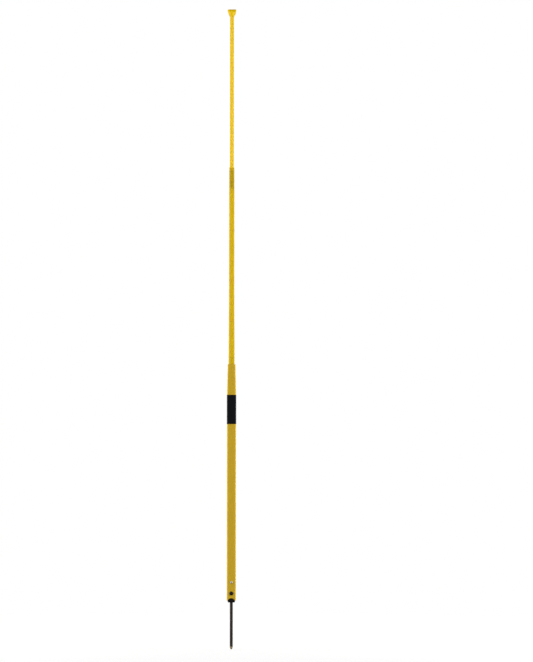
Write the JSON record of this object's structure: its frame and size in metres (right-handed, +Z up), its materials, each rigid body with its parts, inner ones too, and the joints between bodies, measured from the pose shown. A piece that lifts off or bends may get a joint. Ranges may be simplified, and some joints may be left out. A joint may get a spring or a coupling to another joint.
{
  "type": "slalom pole",
  "caption": "Square telescoping slalom pole with a ground spike, tapered friction joints, a ribbed top rod and a flared cap.",
  "frame": {"origin": "middle of the spike plug's underside, where the pole stops on the turf", "axes": "+Z up along the pole, the fasteners' front heads towards -Y"},
  "size_m": [0.0248, 0.0295, 1.6784],
  "materials": {
    "yellow_plastic": "moulded yellow plastic, satin gloss",
    "black_plastic": "moulded black plastic, fine matt texture",
    "label_film": "plain black satin film",
    "spike_steel": "dark oiled steel rod, worn bright at the tip",
    "black_steel": "black coated steel",
    "bright_steel": "zinc-plated steel"
  },
  "bodies": {
    "lower_stage": {"outer_tube": "yellow_plastic", "label_band": "label_film", "spike_plug": "black_plastic", "ground_spike": "spike_steel", "plug_bolt": "black_steel", "bolt_sleeve_nut": "black_steel", "plug_rivet": "bright_steel", "rivet_washer": "bright_steel"},
    "middle_stage": {"mid_tube": "yellow_plastic"},
    "top_stage": {"top_rod": "yellow_plastic", "rod_foot": "black_plastic", "foot_washer": "bright_steel", "foot_screw": "bright_steel", "top_cap": "yellow_plastic"}
  },
  "joints": [
    {"name": "mid_slide", "type": "slide", "parent": "lower_stage", "child": "middle_stage", "axis": [0, 0, 1], "range_m": [-0.5133, 0]},
    {"name": "rod_slide", "type": "slide", "parent": "middle_stage", "child": "top_stage", "axis": [0, 0, 1], "range_m": [-0.3952, 0]}
  ]
}
